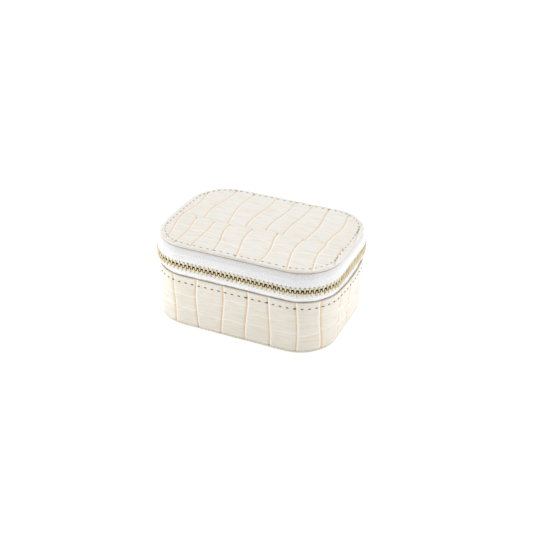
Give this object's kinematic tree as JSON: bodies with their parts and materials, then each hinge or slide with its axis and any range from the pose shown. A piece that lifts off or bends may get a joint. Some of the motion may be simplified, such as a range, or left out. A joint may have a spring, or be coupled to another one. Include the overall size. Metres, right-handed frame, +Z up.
{
  "type": "jewelry box",
  "caption": "Rounded rectangular zip-around jewelry case in embossed leather, with a hinged lid, compartments, ring rolls and a lid pocket.",
  "frame": {"origin": "on the surface it stands on, under the middle of the case", "axes": "+Z up, +X along the long side to the right seen from the front, -Y towards the front; the hinge is at +Y"},
  "size_m": [0.1205, 0.0882, 0.0545],
  "materials": {
    "ivory_leather": "semi-gloss, embossed with a reptile grain",
    "grey_board": "matt wood-fibre board",
    "velvet": "soft short-pile lining",
    "zip_tape": "woven twill",
    "antique_brass": "soft satin antique gold",
    "thread": "waxed thread",
    "elastic": "ribbed elastic"
  },
  "bodies": {
    "base": {"base_leather_wall": "ivory_leather", "base_leather_bottom": "ivory_leather", "base_floor_board": "grey_board", "base_wall_board": "grey_board", "base_floor_lining": "velvet", "base_wall_lining": "velvet", "base_zip_tape": "zip_tape", "base_edge_lining": "velvet", "base_zip_teeth": "antique_brass", "base_top_stop": "antique_brass", "zip_bottom_stop": "antique_brass", "base_stitching": "thread", "centre_divider": "velvet", "cross_divider": "velvet", "ring_platform": "grey_board", "ring_roll_1": "velvet", "ring_roll_2": "velvet", "ring_roll_3": "velvet", "hinge_leather": "ivory_leather", "hinge_lining": "velvet"},
    "lid": {"lid_edge_lining": "velvet", "lid_leather_panel": "ivory_leather", "lid_top_board": "grey_board", "lid_wall_board": "grey_board", "lid_wall_lining": "velvet", "lid_lining_pad": "velvet", "lid_zip_tape": "zip_tape", "lid_zip_teeth": "antique_brass", "lid_top_stop": "antique_brass", "lid_stitching": "thread", "lid_pocket": "velvet", "pocket_elastic": "elastic"},
    "slider": {"slider_body": "antique_brass", "slider_bridge": "antique_brass"},
    "pull_link": {"pull_link": "antique_brass"},
    "pull_tab": {"pull_tab": "antique_brass"}
  },
  "joints": [
    {"name": "lid_hinge", "type": "hinge", "parent": "base", "child": "lid", "pos_m": [0, 0.0431, 0.0417], "axis": [-1, 0, 0], "range_deg": [0, 105], "deforming": ["hinge_leather", "hinge_lining", "lid_zip_teeth", "base_zip_teeth"]},
    {"name": "zip_slide", "type": "slide", "parent": "base", "child": "slider", "axis": [0, -1, 0], "range_m": [0, 0.024]},
    {"name": "link_swing", "type": "hinge", "parent": "slider", "child": "pull_link", "pos_m": [-0.0605, 0.01365, 0.0417], "axis": [1, 0, 0], "range_deg": [-20, 20]},
    {"name": "pull_swing", "type": "hinge", "parent": "pull_link", "child": "pull_tab", "pos_m": [-0.0605, 0.01365, 0.0349], "axis": [0, 1, 0], "range_deg": [-5, 100]}
  ]
}
